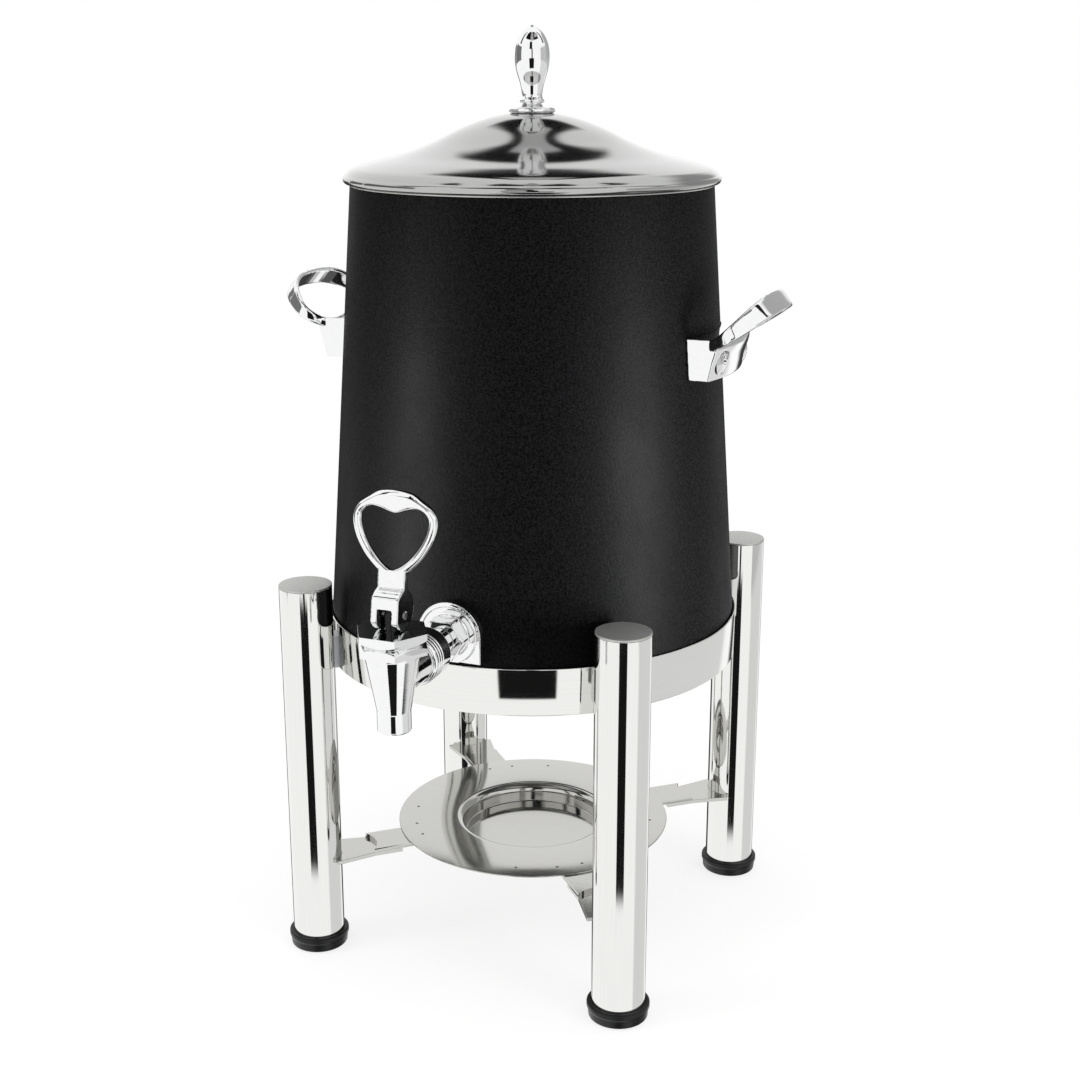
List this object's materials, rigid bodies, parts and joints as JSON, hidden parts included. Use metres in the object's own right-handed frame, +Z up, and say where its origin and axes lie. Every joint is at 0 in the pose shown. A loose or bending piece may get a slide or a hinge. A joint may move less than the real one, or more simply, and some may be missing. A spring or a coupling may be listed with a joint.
{
  "type": "coffee urn",
  "caption": "Insulated coffee urn with a lift-off domed lid, side handles and a self-closing lever tap, on a pillar stand with a fuel tray.",
  "frame": {"origin": "on the table, midway between the four feet, on the axis of the stand and the body", "axes": "+Z up, the tap points roughly along -Y (turned by about 3 degrees on the stand), +X to the right seen from the tap's side"},
  "size_m": [0.3726, 0.4109, 0.6702],
  "materials": {
    "mirror_steel": "stainless steel polished to a mirror",
    "bright_steel": "bright rolled stainless steel sheet",
    "plain_steel": "plain steel, satin",
    "black_paint": "matte black powder coat with a fine grain",
    "satin_steel": "satin stainless steel",
    "lid_steel": "polished stainless steel with a fine satin haze",
    "chrome_plate": "bright chrome plate on cast metal",
    "black_rubber": "smooth black moulded rubber",
    "seal_rubber": "soft food-grade rubber",
    "black_nylon": "black turned nylon"
  },
  "bodies": {
    "stand": {"pillar_back_right": "mirror_steel", "pillar_back_left": "mirror_steel", "pillar_front_left": "mirror_steel", "pillar_front_right": "mirror_steel", "pillar_cap_back_right": "mirror_steel", "pillar_cap_back_left": "mirror_steel", "pillar_cap_front_left": "mirror_steel", "pillar_cap_front_right": "mirror_steel", "foot_back_right": "black_rubber", "foot_back_left": "black_rubber", "foot_front_left": "black_rubber", "foot_front_right": "black_rubber", "ring_spacer_back_right": "plain_steel", "ring_spacer_back_left": "plain_steel", "ring_spacer_front_left": "plain_steel", "ring_spacer_front_right": "plain_steel", "brace_tab_back_right": "bright_steel", "brace_tab_back_left": "bright_steel", "brace_tab_front_left": "bright_steel", "brace_tab_front_right": "bright_steel", "stand_ring": "mirror_steel", "ring_ledge": "plain_steel", "ring_screws": "plain_steel", "brace_spider": "bright_steel", "brace_screws": "plain_steel", "fuel_tray": "bright_steel"},
    "urn": {"body_jacket": "black_paint", "body_base": "plain_steel", "liner": "satin_steel", "tap_cover": "chrome_plate", "shank": "chrome_plate", "shank_sleeve": "plain_steel", "shank_gasket": "seal_rubber", "shank_nut": "chrome_plate", "shank_locknut": "chrome_plate", "union_nut": "chrome_plate", "tap_body": "chrome_plate", "tap_bonnet": "chrome_plate", "stem_seal": "seal_rubber", "handle_right": "chrome_plate", "handle_left": "chrome_plate", "handle_plate_right": "plain_steel", "handle_plate_left": "plain_steel", "handle_screws_right": "chrome_plate", "handle_screws_left": "chrome_plate"},
    "lid": {"lid_dome": "lid_steel", "lid_skirt": "lid_steel", "finial": "lid_steel", "finial_stud": "plain_steel", "finial_washer": "plain_steel"},
    "valve_stem": {"valve_post": "black_nylon", "seat_cup": "seal_rubber", "lever_pin": "plain_steel", "valve_spring": "plain_steel"},
    "lever": {"tap_lever": "chrome_plate"}
  },
  "joints": [
    {"name": "urn_lift", "type": "slide", "parent": "stand", "child": "urn", "axis": [0, 0, 1], "range_m": [0, 0.08]},
    {"name": "lid_lift", "type": "slide", "parent": "urn", "child": "lid", "axis": [0, 0, 1], "range_m": [0, 0.12]},
    {"name": "stem_lift", "type": "slide", "parent": "urn", "child": "valve_stem", "axis": [0, 0, 1], "range_m": [0, 0.0024], "stiffness_N_per_m": 500, "springref_m": -0.0056, "deforming": ["valve_spring"]},
    {"name": "lever_tilt", "type": "hinge", "parent": "valve_stem", "child": "lever", "pos_m": [0.01365, -0.23665, 0.31734], "axis": [0.9983, 0.0576, 0], "range_deg": [0, 75]}
  ],
  "couplings": [
    {"joint": "stem_lift", "follows": "lever_tilt", "m_per_rad": 0.00183}
  ]
}
